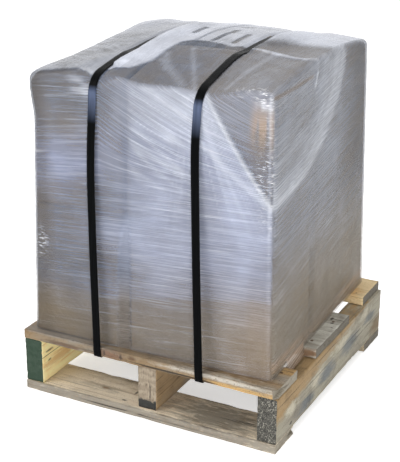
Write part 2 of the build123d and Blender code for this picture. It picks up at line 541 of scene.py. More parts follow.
def end_material(name, tone, under, patchy, dirt=None, stains=(), speckle=0.0, streaks=0.0):
    """A sawn end: growth rings and saw marks, with paint or dirt over it and a dirty foot."""
    look = Look(name)
    places = look.places
    wide = look.add("Mapping", {"Vector": places, "Scale": (60, 60, 60)}).outputs["Vector"]
    rings = look.add(
        "TexWave", {"Vector": wide, "Scale": 1.3, "Distortion": 5.0, "Detail": 3.0}, wave_type="RINGS"
    ).outputs["Fac"]
    saw = look.noise(places, (500, 500, 90), 3, 0.6, rotation=(0, 0.5, 0))
    spots = look.noise(places, (120, 120, 120), 6, 0.7)
    grit = look.noise(places, 430, 4, 0.75)
    colour = look.mix(look.ramp(rings, 0.3, 0.9, 0.0, 0.35), tone, under)
    colour = look.mix(look.ramp(spots, 0.5 + 0.1 * (1 - patchy), 0.72, 0.0, patchy), colour, under)
    colour = look.mix(look.ramp(saw, 0.52, 0.68, 0.0, streaks), colour, under)
    colour = look.mix(look.ramp(grit, 0.53, 0.68, 0.0, speckle), colour, srgb(190, 186, 172))
    colour = look.mix(look.ramp(grit, 0.48, 0.38, 0.0, speckle), colour, srgb(26, 25, 22))
    if dirt:
        shade, low, high = dirt
        height = look.add("SeparateXYZ", {0: places}).outputs["Z"]
        ragged = look.math("ADD", height, look.ramp(spots, 0.3, 0.7, -0.004, 0.004))
        colour = look.mix(look.ramp(ragged, high, low), colour, shade)
    for stain in stains:
        colour = look.stain(spots, colour, *stain)
    look.wear(Base_Color=colour, Roughness=look.ramp(spots, 0.3, 0.7, 0.6, 0.9))
    look.bump(look.math("ADD", saw, spots), 0.6, 0.0008)
    return look.material


def side_stains(x, *rows):
    """Stains on a stringer's side: for each its Y, Z, tone, reach along, reach up and strength."""
    return [((x, y, z), tone, (0.01, along, up), strength) for y, z, tone, along, up, strength in rows]


def board_stains(*rows):
    """Stains on a board: for each its X, Y, Z, tone, reach along each axis and strength."""
    return [(row[:3], row[3], row[4:7], row[7]) for row in rows]


def timber_looks(s):
    """The colours, stains and ends of each piece of timber; ends are front and back, or left and right."""
    plain_end = end_material("sawn_end", s.tan_pine, s.dark_grain, 0.5)
    grey_end = end_material("grey_end", srgb(112, 106, 94), srgb(70, 64, 54), 0.7)
    pale_end = end_material("pale_end", srgb(160, 152, 136), srgb(104, 96, 82), 0.6)
    green_end = end_material("green_end", s.end_paint, srgb(58, 76, 60), 0.35)
    soot, hole, rust, ochre = srgb(46, 40, 34), srgb(38, 30, 22), srgb(116, 80, 60), srgb(206, 166, 104)
    ash, cream = srgb(102, 109, 114), srgb(204, 197, 176)
    tan_end = end_material(
        "tan_end", srgb(166, 152, 132), srgb(104, 90, 74), 0.5, (srgb(42, 42, 40), 0.034, 0.037),
        [((0.006, -0.258, 0.054), soot, (0.0018, 0.01, 0.022))], streaks=0.8,
    )
    dirty_end = end_material("dirty_end", srgb(74, 72, 66), srgb(52, 51, 47), 0.6, speckle=1.0)
    return {
        "stringer_left": dict(
            # Painted light: the left stringer's light and dark tones are raised to stand in for sun on its
            # inner side; the stain along its outer half keeps that half plain tan.
            light=s.sunlit_fresh_pine, dark=srgb(244, 206, 138), weather=0.0, ends=(green_end, plain_end),
            stains=[((-0.2625, 0.0, 0.06), srgb(164, 144, 114), (0.016, 1.0, 0.2), 0.85)] + side_stains(
                -0.2245, (-0.19, 0.052, srgb(196, 128, 54), 0.09, 0.016, 0.5),
                (-0.245, 0.098, hole, 0.006, 0.003, 0.9), (-0.236, 0.078, hole, 0.014, 0.003, 0.9),
                (-0.240, 0.058, hole, 0.009, 0.003, 0.9)),
        ),
        "stringer_middle": dict(
            light=srgb(168, 142, 106), dark=srgb(110, 84, 56), weather=0.25, ends=(tan_end, plain_end),
        ),
        "stringer_right": dict(
            light=srgb(166, 160, 142), dark=srgb(80, 70, 52), weather=0.24, ends=(dirty_end, plain_end),
            upper=(srgb(164, 132, 84), 0.080, 0.096, -0.11),
            stains=side_stains(
                0.2625, (-0.195, 0.058, cream, 0.035, 0.016, 0.8), (-0.075, 0.062, cream, 0.05, 0.016, 0.8),
                (0.05, 0.078, cream, 0.06, 0.014, 0.8), (0.17, 0.090, cream, 0.05, 0.012, 0.7),
                (-0.13, 0.035, ash, 0.05, 0.015, 0.8), (-0.03, 0.050, ash, 0.05, 0.022, 0.8),
                (0.09, 0.060, ash, 0.06, 0.020, 0.75), (0.20, 0.070, ash, 0.04, 0.012, 0.7),
                (-0.20, 0.030, soot, 0.007, 0.003, 0.9), (0.245, 0.035, srgb(120, 98, 66), 0.05, 0.025, 0.8)),
        ),
        "top_board_front": dict(
            light=srgb(144, 120, 88), dark=srgb(76, 58, 42), weather=0.3, ends=(plain_end, pale_end),
            nick=(0.009, 1),
            stains=board_stains(
                (0.19, -0.267, 0.1105, ochre, 0.14, 0.006, 0.0065, 0.8),
                (0.15, -0.267, 0.1215, srgb(202, 196, 184), 0.15, 0.03, 0.006, 0.8),
                (-0.072, -0.267, 0.117, rust, 0.034, 0.012, 0.012, 0.7),
                (-0.085, -0.267, 0.117, soot, 0.003, 0.01, 0.008, 0.7),
                (-0.050, -0.267, 0.116, soot, 0.004, 0.01, 0.008, 0.7),
                (-0.026, -0.267, 0.119, srgb(92, 66, 44), 0.012, 0.01, 0.006, 0.8),
                (-0.165, -0.267, 0.112, srgb(92, 66, 45), 0.06, 0.01, 0.006, 0.8),
                (-0.19, -0.252, 0.126, srgb(146, 141, 134), 0.14, 0.03, 0.006, 0.7),
                (0.25, -0.19, 0.126, ochre, 0.03, 0.022, 0.02, 0.6),
                (0.255, -0.222, 0.124, srgb(164, 156, 142), 0.03, 0.022, 0.02, 0.7)),
        ),
        "top_board_middle": dict(
            light=srgb(200, 198, 187), dark=srgb(128, 121, 107), weather=0.38, ends=(plain_end, grey_end),
            stains=board_stains(
                (0.246, 0.030, 0.126, hole, 0.006, 0.004, 0.01, 0.9),
                (0.222, -0.052, 0.126, hole, 0.008, 0.004, 0.01, 0.9),
                (0.238, 0.048, 0.126, hole, 0.004, 0.007, 0.01, 0.9),
                (0.252, 0.012, 0.126, hole, 0.005, 0.003, 0.01, 0.9),
                (0.225, -0.09, 0.116, srgb(124, 90, 58), 0.09, 0.006, 0.014, 0.9)),
        ),
        "top_board_back": dict(
            light=srgb(224, 200, 156), dark=srgb(160, 134, 92), weather=0.1, ends=(plain_end, grey_end),
            stains=board_stains((0.22, 0.19, 0.126, srgb(206, 150, 70), 0.03, 0.03, 0.02, 0.6)),
        ),
        "bottom_board_front": dict(
            light=srgb(250, 236, 212), dark=srgb(182, 160, 130), weather=0.1, ends=(plain_end, pale_end),
            nick=(0.012, -1),
            stains=board_stains(
                # Painted shade: the board's top in the right bay is greyer, for the shadow that falls there.
                (0.13, -0.222, 0.018, srgb(124, 118, 106), 0.12, 0.06, 0.006, 0.85),
                (0.0, -0.267, 0.009, srgb(108, 104, 97), 0.9, 0.006, 0.030, 0.8),
                (-0.055, -0.248, 0.018, hole, 0.006, 0.003, 0.004, 0.9),
                (-0.028, -0.232, 0.018, hole, 0.005, 0.009, 0.004, 0.9),
                (-0.048, -0.212, 0.018, hole, 0.003, 0.012, 0.004, 0.8),
                (-0.11, -0.225, 0.018, srgb(150, 116, 80), 0.014, 0.005, 0.004, 0.8)),
        ),
        "bottom_board_back": dict(
            light=srgb(186, 170, 142), dark=srgb(116, 98, 74), weather=0.45, ends=(plain_end, grey_end),
        ),
    }


class LOAD_OT_timber(bpy.types.Operator):
    """Puts worn boards and stringers in place of the pallet's plain ones"""

    bl_idname = "pallet_load.timber"
    bl_label = "Pallet Timber"

    def execute(self, context):
        s = context.scene.load_timber
        for k, (node, look) in enumerate(timber_looks(s).items()):
            along = 1 if node in stringers else 0
            vertices, faces, kinds = timber_mesh(*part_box(node), along, 100 + 20 * k, s, look.get("nick"))
            sides = timber_material(
                f"{node}_grain", along, look["light"], look["dark"], s.weathered, look["weather"],
                look.get("stains", ()), look.get("upper"), 0.37 * k,
            )
            new_piece(f"worn_{node}", vertices, faces, [sides, *look["ends"]], [node], kinds)
        return {"FINISHED"}


class LOAD_OT_nails(bpy.types.Operator):
    """Drives nail heads into the boards over each stringer"""

    bl_idname = "pallet_load.nails"
    bl_label = "Nails"

    def execute(self, context):
        s = context.scene.load_timber
        look = Look("rusted_nail")
        spots = look.noise(look.places, 900, 4, 0.6)
        look.wear(Base_Color=look.mix(spots, s.nail_steel, srgb(112, 78, 54)), Metallic=0.6,
                  Roughness=look.ramp(spots, 0.3, 0.7, 0.45, 0.8))
        look.bump(spots, 0.5, 0.0003)
        rng = np.random.default_rng(7)
        profile = ((0.5, -0.0006), (0.5, 0.0001), (0.42, 0.0005), (0.2, 0.0006))
        around, sunk = 14, 0.0011
        vertices, faces = [], []
        for board in top_boards + bottom_boards:
            low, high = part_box(board)
            up = 1 if board in top_boards else -1
            z = high[2] - sunk if up > 0 else low[2] + sunk
            for stringer in stringers:
                s_low, s_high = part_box(stringer)
                for share in (0.22, 0.78):
                    x = (s_low[0] + s_high[0]) / 2 + rng.uniform(-0.007, 0.007)
                    y = low[1] + (high[1] - low[1]) * share + rng.uniform(-0.006, 0.006)
                    for k, (radius, rise) in enumerate(profile):
                        ring, r = len(vertices), radius * s.nail_head
                        for a in np.linspace(0, 2 * pi, around, endpoint=False):
                            vertices.append((x + r * cos(a), y + r * sin(a), z + up * rise))
                        if k:
                            faces += ring_faces(ring - around, ring, around, up < 0)
                    cap = list(range(ring, ring + around))
                    faces.append(cap if up > 0 else cap[::-1])
        new_piece("nails", vertices, faces, [look.material])
        return {"FINISHED"}


def convex_outline(points):
    """The outline of a set of places in a plane, in order."""
    ordered = sorted(map(tuple, np.round(points, 6)))

    def half(places):
        kept = []
        for p in places:
            while len(kept) > 1:
                (ax, ay), (bx, by) = kept[-2], kept[-1]
                if (bx - ax) * (p[1] - ay) - (by - ay) * (p[0] - ax) > 0:
                    break
                kept.pop()
            kept.append(p)
        return kept[:-1]

    return np.array(half(ordered) + half(ordered[::-1]))


def strap_line(node, s):
    """A strap's outer line: places in Y and Z, its outward directions, and its X at each place.

    It starts from the CAD strap and takes wide bends over the rim, where it has crushed the cartons' edges.
    """
    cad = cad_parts[node]
    places = np.array([cad.matrix_world @ v.co for v in cad.data.vertices])
    outline = convex_outline(places[:, 1:])
    loop = np.vstack((outline, outline[:1]))
    gone = np.concatenate(([0], np.cumsum(np.linalg.norm(np.diff(loop, axis=0), axis=1))))
    where = np.linspace(0, gone[-1], int(gone[-1] / s.step), endpoint=False)
    line = np.column_stack([np.interp(where, gone, loop[:, k]) for k in (0, 1)])
    reach = int(s.rim_bend / s.step)
    for side in (-1, 1):
        corner = int(np.argmax(side * line[:, 0] * 0.8 + line[:, 1]))
        picked = np.arange(corner - reach, corner + reach + 1) % len(line)
        start, end = line[picked[0]], line[picked[-1]]
        in_way = start - line[(picked[0] - 2) % len(line)]
        out_way = line[(picked[-1] + 2) % len(line)] - end
        gone_in = np.linalg.solve(np.column_stack((in_way, -out_way)), end - start)[0]
        middle = start + in_way * gone_in
        t = np.linspace(0, 1, len(picked))[:, None]
        line[picked] = start * (1 - t) ** 2 + middle * 2 * t * (1 - t) + end * t ** 2
    forward = np.roll(line, -1, axis=0) - np.roll(line, 1, axis=0)
    forward /= np.linalg.norm(forward, axis=1, keepdims=True)
    outward = np.column_stack((forward[:, 1], -forward[:, 0]))
    levels, bows = strap_bows[node]
    fine = np.linspace(levels[0], levels[-1], 60)
    padded = np.pad(np.interp(fine, levels, bows), 6, mode="edge")
    eased = np.convolve(padded, np.full(13, 1 / 13), mode="valid")
    lean = np.polyfit(places[:, 2], places[:, 0], 1)
    x = np.polyval(lean, line[:, 1]) + np.interp(line[:, 1], fine, eased)
    sink = 0.0045 * between(line[:, 0], strap_sinks[node], strap_sinks[node] + 0.05, 0.18, 0.235)
    line[:, 1] -= (rim_sag(x, line[:, 0]) + sink) * smooth(0.45, 0.6, line[:, 1])
    return line, outward, x


def under_straps(s, places, margin):
    """Presses places down to a margin under the straps, easing out to either side of each."""
    pressed = places.copy()
    for node in strap_bows:
        line, outward, x = strap_line(node, s)
        levels = line[:, 1].argsort()
        strap_x = np.interp(pressed[:, 2], line[levels, 1], x[levels])
        reach = np.where(pressed[:, 2] > 0.645, 0.0125, 0.042)
        ease = smooth(reach, 0.0088, np.abs(pressed[:, 0] - strap_x))
        near = np.flatnonzero(ease > 0)
        for part in np.array_split(near, max(1, len(near) // 4000)):
            away = pressed[part][:, None, 1:] - line[None]
            nearest = (away ** 2).sum(axis=2).argmin(axis=1)
            rows = np.arange(len(part))
            proud = (away[rows, nearest] * outward[nearest]).sum(axis=1) + margin
            push = np.maximum(proud, 0) * ease[part]
            pressed[part, 1:] -= outward[nearest] * push[:, None]
    return pressed


def rim_sag(x, y):
    """How far the front edge has sunk between left carton and right corner, and the back and left edges."""
    front = 0.011 * between(x, -0.075, -0.02, 0.10, 0.19) * smooth(-0.07, -0.235, y)
    back = np.interp(x, (-0.15, -0.10, -0.05, 0.0, 0.05, 0.10, 0.15, 0.22),
                     (0.0, 0.004, 0.006, 0.008, 0.010, 0.008, 0.004, 0.002))
    left = 0.004 * smooth(-0.17, -0.225, x) * hump(y, -0.03, 0.12)
    return front + back * smooth(0.05, 0.23, y) + left


def brow_lift(x, y):
    """How far the brows at the rim stand over the crown."""
    left_brow = 0.013 * between(x, -0.275, -0.225, -0.1, -0.072) * smooth(-0.10, -0.235, y)
    left_brow = left_brow * (1 - hump(x, -0.111, 0.022))
    right_brow = 0.010 * smooth(0.12, 0.215, x) * smooth(-0.02, -0.2, y)
    right_edge = 0.009 * smooth(0.17, 0.225, x) * hump(y, -0.1, 0.14)
    back_left = 0.010 * smooth(-0.16, -0.225, x) * smooth(0.06, 0.17, y)
    return left_brow + np.maximum(right_brow, right_edge) + back_left


def strap_bulge(x, y):
    """How far the film stands up beside the straps on the top."""
    left = between(x, -0.101, -0.094, -0.085, -0.05)
    left = left * np.interp(y, (-0.22, -0.15, 0.0, 0.12, 0.2), (0.0, 0.004, 0.008, 0.006, 0.0))
    right = between(x, 0.102, 0.109, 0.12, 0.165)
    right = right * np.interp(y, (-0.10, -0.06, 0.05, 0.14, 0.21), (0.0, 0.008, 0.010, 0.006, 0.0))
    return smooth(0.225, 0.20, y) * (left + right)


def swollen(places):
    """The places with the load's front left shoulder pushed out."""
    x, y, z = np.array(places).T
    amount = 0.008 * smooth(-0.18, -0.225, x) * smooth(-0.16, -0.225, y) * hump(z, 0.605, 0.075)
    return np.column_stack((x - 0.85 * amount, y - 0.5 * amount, z))


def slot_share(y):
    """1 where the film's right foot crosses the slot between the front and middle boards, else 0."""
    return between(y, slot_front, slot_front + 0.004, slot_back - 0.009, slot_back)


def hung(places, sides):
    """The places with the film's right foot let down into that slot."""
    x, y, z = places.T
    drop = slot_drop * slot_share(y) * smooth(0.150, deck_top, z) * (sides == 1)
    return np.column_stack((x, y, z - drop))


def crown_height(s, x, y):
    """Height of the crowned top with its sunk edges and its brows."""
    away = (x - s.crown_x) ** 2 + (y - s.crown_y) ** 2
    crown = film_high[2] - s.crown_radius + np.sqrt(s.crown_radius ** 2 - away)
    return crown - rim_sag(x, y) + brow_lift(x, y)


def film_inside(s, places, margin):
    """Moves the places that lie outside the film's form, less a margin, onto it."""
    r = s.edge_radius
    square = turned(places, -load_turn, load_middle)
    half = film_foot - margin - np.clip(places[:, 2:] - deck_top, 0, None) * tan(s.side_lean)
    away = square[:, :2] - load_middle
    over = np.abs(away) - (half - r)
    beyond = np.maximum(over, 0)
    length = np.linalg.norm(beyond, axis=1)
    side = np.where(length > 0, length, over.max(axis=1))
    top = places[:, 2] - crown_height(s, places[:, 0], places[:, 1]) + margin + r
    a, b = np.maximum(side, 0), np.maximum(top, 0)
    reach = np.hypot(a, b)
    share = np.where(reach > r, r / np.maximum(reach, 1e-9), 1.0)
    outward = np.sign(away) * beyond / np.maximum(length, 1e-9)[:, None]
    square[:, :2] -= outward * (a * (1 - share))[:, None]
    square[:, 2] -= b * (1 - share)
    return turned(square, load_turn, load_middle)


def box_mesh(lines):
    """A box's outer points and faces, cut along the given lines on each axis."""
    counts = [len(line) for line in lines]
    index, points, faces = {}, [], []

    def corner(cell):
        if cell not in index:
            index[cell] = len(points)
            points.append([lines[axis][cell[axis]] for axis in range(3)])
        return index[cell]

    for axis in range(3):
        u, v = (axis + 1) % 3, (axis + 2) % 3
        for end in (0, counts[axis] - 1):
            for i in range(counts[u] - 1):
                for j in range(counts[v] - 1):
                    quad = []
                    for di, dj in ((0, 0), (1, 0), (1, 1), (0, 1)):
                        cell = [0, 0, 0]
                        cell[axis], cell[u], cell[v] = end, i + di, j + dj
                        quad.append(corner(tuple(cell)))
                    faces.append(quad if end else quad[::-1])
    return np.array(points), faces


def pressed_carton(node, s, step=0.012, seam=0.001, seam_depth=0.0015, margin=0.002, spread=0.03):
    """A carton that bears against the film all round: scored edges, the flap seam, and outer walls that have
    spread until the film holds them. Walls further than spread from the film stay where they are."""
    edge = carton_edge
    low, high = (np.array(c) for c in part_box(node))
    halves = square_halves(low, high, edge)
    middle = turned([(low + high) / 2], -load_turn, load_middle)[0, :2]
    low[:2], high[:2] = middle - halves, middle + halves
    size = high - low
    across = 1 if size[0] > size[1] else 0
    ends = edge * np.array((0, 0.25, 0.6, 1))
    lines = []
    for axis in range(3):
        inner = np.linspace(edge, size[axis] - edge, ceil(size[axis] / step) + 1)[1:-1]
        line = [*ends, *inner, *(size[axis] - ends[::-1])]
        if axis == across:
            half = size[axis] / 2
            line = [v for v in line if abs(v - half) > 4 * seam]
            line += [half + seam * k for k in (-1.5, -1, 1, 1.5)]
        lines.append(np.array(sorted(line)))
    local, faces = box_mesh(lines)
    kept = np.clip(local, edge, size - edge)
    off = local - kept
    length = np.linalg.norm(off, axis=1, keepdims=True)
    rounded = kept + off * np.where(length > 0, edge / np.maximum(length, 1e-9), 0)
    on_seam = np.abs(local[:, across] - size[across] / 2) < 1.2 * seam
    for level, inward in ((0, 1), (size[2], -1)):
        rounded[on_seam & (np.abs(local[:, 2] - level) < 1e-6), 2] += inward * seam_depth
    places = rounded + low
    share = rounded / size
    for axis in (0, 1):
        reach = film_foot[axis] - margin - (places[:, 2] - deck_top) * tan(s.side_lean)
        if low[axis] - load_middle[axis] + film_foot[axis] < spread:
            places[:, axis] += (1 - share[:, axis]) * (load_middle[axis] - reach - low[axis])
        if load_middle[axis] + film_foot[axis] - high[axis] < spread:
            places[:, axis] += share[:, axis] * (load_middle[axis] + reach - high[axis])
    places = turned(places, load_turn, load_middle)
    if low[2] > deck_top + 0.1:
        crown = crown_height(s, places[:, 0], places[:, 1]) - margin
        places[:, 2] += share[:, 2] * (crown - high[2])
    return film_inside(s, places, margin), faces


class LOAD_OT_cartons(bpy.types.Operator):
    """Stacks the kraft cartons, spread against the film, with flute lines and stains"""

    bl_idname = "pallet_load.cartons"
    bl_label = "Cartons"

    def execute(self, context):
        scene = context.scene
        for k, node in enumerate(carton_nodes):
            vertices, faces = pressed_carton(node, scene.load_film)
            vertices = under_straps(scene.load_straps, swollen(vertices), carton_press)
            material = self.kraft(scene.load_cartons, f"kraft_{node}", (0.31 * k, 0.17 * k, 0.23 * k))
            new_piece(f"pressed_{node}", vertices, faces, [material], [node])
        return {"FINISHED"}

    @staticmethod
    def kraft(s, name, shift):
        """Kraft board with stains, fibres and flutes."""
        look = Look(name)
        places = look.vector("ADD", 0, look.places, shift)
        stains = look.noise(places, (14, 14, 9), 5, 0.6, 0.4)
        fibres = look.noise(places, (240, 240, 700), 4, 0.6)
        inputs = {"Vector": places, "Scale": 1 / (pi * s.flute_pitch), "Distortion": 0.2}
        flutes = look.add("TexWave", inputs, bands_direction="DIAGONAL").outputs["Fac"]
        colour = look.mix(look.ramp(stains, 0.3, 0.72), s.kraft, s.kraft_dark)
        colour = look.mix(look.ramp(fibres, 0.5, 0.8, 0.0, 0.35), colour, s.kraft_dark)
        colour = look.mix(look.ramp(flutes, 0.7, 1.0, 0.0, 0.12), colour, s.kraft_dark)
        look.wear(Base_Color=colour, Roughness=look.ramp(fibres, 0.3, 0.7, 0.7, 0.9))
        look.bump(look.math("ADD", fibres, look.math("MULTIPLY", flutes, 0.5)), 0.4, 0.0004)
        return look.material


def film_material(s):
    """Stretch film: dense where layers lie thick, near clear where they are few, with fine pull lines.

    It reads what relief and winding keep at each point. Sparkle below 0 marks calm film without glints.
    """
    look = Look("stretch_film_haze")
    haze, on_top, tone, wind, sparkle = (
        look.add("Attribute", attribute_name=name).outputs[output]
        for name, output in (("haze", "Fac"), ("on_top", "Fac"), ("tone", "Color"), ("wind", "Vector"),
                             ("sparkle", "Fac"))
    )
    ramp, math = look.ramp, look.math
    pull_lines = look.noise(wind, (9, 430, 1), 3, 0.6)
    pull_bands = look.noise(wind, (2.6, 60, 1), 4, 0.6)
    top_lines = look.noise(look.places, (120, 22, 1), 4, 0.6, 0.4, (0, 0, 0.5))
    crinkles = look.noise(look.places, (90, 90, 420), 4, 0.65, 0.5)
    blotches = look.noise(look.places, (11, 11, 11), 4, 0.55)
    threads = look.noise(wind, (5, 240, 1), 2, 0.5, 0.3)

    side = math("ADD", ramp(pull_lines, 0.3, 0.7, -0.7, 0.7), ramp(pull_bands, 0.25, 0.75, -0.3, 0.3))
    top = ramp(top_lines, 0.25, 0.75, -0.45, 0.45)
    lines = look.add("Mix", {0: on_top, 2: side, 3: top}, data_type="FLOAT").outputs[0]
    contrast = ramp(haze, 0.30, 0.62, 0.19, 0.12)
    cloud = math("ADD", math("MULTIPLY", lines, contrast), ramp(blotches, 0.25, 0.75, -0.12, 0.12))
    lively = ramp(sparkle, -1.0, 0.0)
    threads = math("MULTIPLY", ramp(threads, 0.62, 0.72, 0.0, 0.24), lively, ramp(on_top, 0.1, 0.0))
    flashes = math("MAXIMUM", math("MULTIPLY", sparkle, ramp(crinkles, 0.52, 0.66)), threads)
    density = math("ADD", haze, cloud, math("MULTIPLY", flashes, 0.5))
    glints = math("MULTIPLY", ramp(lines, 0.22, 0.8, 0.0, 0.5), ramp(haze, 0.42, 0.72, 0.4, 1.0), lively)

    shade = ramp(cloud, -0.2, 0.2, 0.74, 1.14)
    lit = look.add("VectorMath", {0: tone, "Scale": shade}, operation="SCALE").outputs[0]
    lit = look.mix(flashes, look.mix(glints, lit, s.glint_tone), srgb(250, 250, 252))
    look.wear(Base_Color=lit, Alpha=ramp(density, 0.0, 1.0, 0.10, 0.97), IOR=1.5, Specular_IOR_Level=0.8,
              Roughness=ramp(lines, -1.0, 1.0, 0.2, 0.34))
    look.bump(math("ADD", lines, math("MULTIPLY", crinkles, sparkle)), 0.6, 0.0010)
    return look.material


def film_columns(columns, corner_columns):
    """Where each mesh column stands: its place on the inner rectangle (-1 to 1), its outward direction,
    its side (0 front, 1 right, 2 back, 3 left) and its place on the cap's grid."""
    box, outward, side, grid = [], [], [], []
    normals = ((0, -1), (1, 0), (0, 1), (-1, 0))
    corners = np.array(((-1, -1), (1, -1), (1, 1), (-1, 1)))
    cells = (corners + 1) // 2 * columns
    for k in range(4):
        n = (k + 1) % 4
        for i in range(columns + 1):
            box.append(corners[k] + (corners[n] - corners[k]) * i / columns)
            outward.append(normals[k])
            side.append(k)
            grid.append(tuple(cells[k] + (cells[n] - cells[k]) * i // columns))
        for i in range(1, corner_columns):
            a = (k - 1 + i / corner_columns) * pi / 2
            box.append(corners[n])
            outward.append((cos(a), sin(a)))
            side.append(k if 2 * i < corner_columns else n)
            grid.append(tuple(cells[n]))
    return np.array(box, float), np.array(outward, float), np.array(side), grid


def tones(s, *names):
    """The film's colours of these names, as numbers to mix."""
    return [np.array(getattr(s, f"{name}_tone")) for name in names]


def front_film(s, x, z):
    """The front: wrinkles that rise to the right, the hollow between cartons, the rolled edge and its fan.

    Returns, as for each side, how far each point stands off the plain form, its haze, tone and sparkle.
    """
    white, sky, blue, dusk, warm, board = tones(s, "white", "sky", "blue", "dusk", "warm", "board")
    level = z - x * tan(radians(3))
    strong = 0.3 + 0.7 * smooth(0.06, 0.14, x) * between(z, 0.26, 0.34, 0.48, 0.56)
    wrinkles = crest(x / 0.10, level / 0.009, 11) * strong + 0.5 * crest(x / 0.2, level / 0.03, 12)
    gap_left = np.interp(z, (0.126, 0.28, 0.35, 0.39), (-0.067, -0.067, -0.058, -0.046))
    gap = smooth(gap_left - 0.003, gap_left + 0.005, x) * smooth(-0.037, -0.043, x) * smooth(0.40, 0.34, z)
    seam = hump(x, -0.043, 0.004) * smooth(0.62, 0.6, z)
    strip = hump(x, -0.195, 0.005) * smooth(0.5, 0.46, z)
    roll = smooth(0.0062, 0.0008, along_line(x, z, rolled_edge))
    tail = fold(x, z, roll_tail, 0.007)
    crease = fold(x, z, brow_crease, 0.004)
    bearing, reach = np.arctan2(0.640 - z, x - 0.07), np.hypot(0.640 - z, x - 0.07)
    below_roll = smooth(0.004, -0.010, (x - 0.107) * 0.81 + (z - 0.612) * 0.585)
    fan = crest(bearing * 26, reach / 0.3, 13)
    fan = fan * below_roll * smooth(radians(120), radians(70), bearing) * smooth(0.34, 0.16, reach)
    drawn = crest((z + 0.5 * x) / 0.012, (x - 0.5 * z) / 0.16, 16, 5)
    drawn = drawn * between(x, -0.046, -0.03, 0.06, 0.09) * smooth(0.42, 0.5, z)
    crumple = crest(x / 0.02, z / 0.007, 14, 2) * smooth(0.200, 0.224, x)
    shape = s.wrinkle * (wrinkles + 1.2 * fan + 0.5 * drawn + 0.8 * crumple)
    shape = shape + 0.0026 * roll + 0.0010 * tail + 0.0014 * crease
    shape = shape - 0.0020 * gap - 0.0008 * seam - 0.0006 * strip

    band = np.interp(x, (-0.065, 0.195), (0.223, 0.271))
    above_band = 0.6 * smooth(band - 0.08, band + 0.06, z) + 0.4 * smooth(band - 0.006, band + 0.006, z)
    after_seam = smooth(-0.048, -0.038, x)
    over_roll = (1 - below_roll) * smooth(0.098, 0.106, x)
    upper_gap = between(x, -0.066, -0.056, -0.041, -0.036) * between(z, 0.34, 0.40, 0.6, 0.62)
    blue_band = hump(z - 0.25 * x, 0.51, 0.08) * smooth(-0.05, -0.15, x)
    arc_high = np.interp(x, (-0.226, -0.205, -0.186, -0.156, -0.121), (0.503, 0.490, 0.479, 0.476, 0.478))
    arc_low = np.interp(x, (-0.226, -0.199, -0.175, -0.121), (0.488, 0.466, 0.436, 0.437))
    left_arc = between(z, arc_low - 0.03, arc_low + 0.015, arc_high - 0.008, arc_high + 0.005)
    left_arc = left_arc * smooth(-0.08, -0.12, x)
    bare_patch = spot(x, z, (-0.165, 0.535), (0.06, 0.045)) * (1 - left_arc)
    brow_glow = smooth(0.1, 0.75, ripple(x / 0.03, z / 0.010, 18))
    brow_glow = brow_glow * spot(x, z, (-0.137, 0.607), (0.045, 0.034))
    corner_glow = smooth(0.1, 0.6, ripple(x / 0.008, z / 0.02, 20))
    corner_glow = corner_glow * spot(x, z, (0.210, 0.613), (0.022, 0.014))
    haze = (
        0.30 + 0.18 * above_band + smooth(-0.14, 0.05, x) * (0.10 * above_band + 0.22 * smooth(0.25, 0.56, z))
        + 0.05 * after_seam + 0.12 * blue_band - 0.06 * smooth(-0.19, -0.2, x)
        - 0.08 * smooth(0.184, 0.198, x) * smooth(0.6, 0.56, z) + 0.5 * gap + 0.30 * roll + 0.14 * tail
        + 0.14 * fan + 0.16 * drawn + 0.12 * crease + 0.35 * brow_glow + 0.03 * left_arc - 0.06 * bare_patch
        + 0.6 * corner_glow - 0.36 * over_roll + 0.08 * (wrinkles - 0.3)
    )

    brow_shade = smooth(0.55, 0.60, z) * smooth(-0.03, -0.10, x)
    lit = np.clip(0.20 + 0.80 * smooth(-0.15, 0.06, x) + 0.6 * blue_band - 0.3 * brow_shade, 0, 1)
    lit = lit * (1 - 0.55 * over_roll)
    panels = 0.88 + 0.24 * ripple(x / 0.055, z / 0.4, 15)
    layers = ripple((x + 0.2 * z) / 0.16, (z + 0.2 * x) / 0.034, 19) - 0.5
    layers = layers * (0.12 + 0.3 * smooth(0.02, -0.10, x))
    patch = smooth(0.25, 0.6, ripple(x / 0.006, z / 0.08, 17)) * smooth(0.178, 0.200, x)
    patch = patch * hump(z, 0.575, 0.06)
    warm_corner = smooth(0.13, 0.225, x) * (1 - above_band) * (0.5 + 0.5 * ripple(x / 0.02, z / 0.12, 27))
    cool = above_band * (1 - 0.28 * after_seam * smooth(0.36, 0.28, z)) + 0.15
    # Partly painted highlight: folds go white from denser film and from painted highlights along them; the brow
    # and corner glows are painted highlights.
    whitened_and_highlit = 0.85 * roll + 0.35 * tail + 0.28 * fan + 0.5 * drawn + 0.3 * crease
    whitened_and_highlit = whitened_and_highlit + 0.8 * brow_glow + corner_glow
    tone = tinted(dusk, lit + layers, sky) * (1 + layers)[:, None]
    tone = tinted(warm, cool, tinted(tone, 0.5 * smooth(0.50, 0.60, z) * lit, white))
    tone = tone * (panels * (1 + 0.32 * smooth(0.10, 0.16, x) * (1 - above_band)))[:, None]
    for share, target in ((0.85 * patch, board), (0.5 * warm_corner, board), (whitened_and_highlit, white)):
        tone = tinted(tone, share, target)
    # Painted shade: the film over the hollow between cartons is made dense and dark, darkest low down, and the
    # hollow's upper part is 10% darker.
    hollow = tinted(warm * (0.64, 0.58, 0.53), smooth(0.20, 0.29, z), 0.59 * tone)
    tone = tinted(tone, 0.95 * gap, hollow) * (1 - 0.10 * upper_gap)[:, None]
    bluish = 0.22 * blue_band + 0.34 * left_arc
    for share, target in ((0.4 * bare_patch, warm), (bluish, blue), (0.08 * left_arc, white)):
        tone = tinted(tone, share, target)
    tone = tone * (1 - 0.5 * smooth(-0.194, -0.220, x))[:, None]
    tone = tone * (1 - 0.3 * smooth(-0.206, -0.226, x) * smooth(0.54, 0.59, z))[:, None]

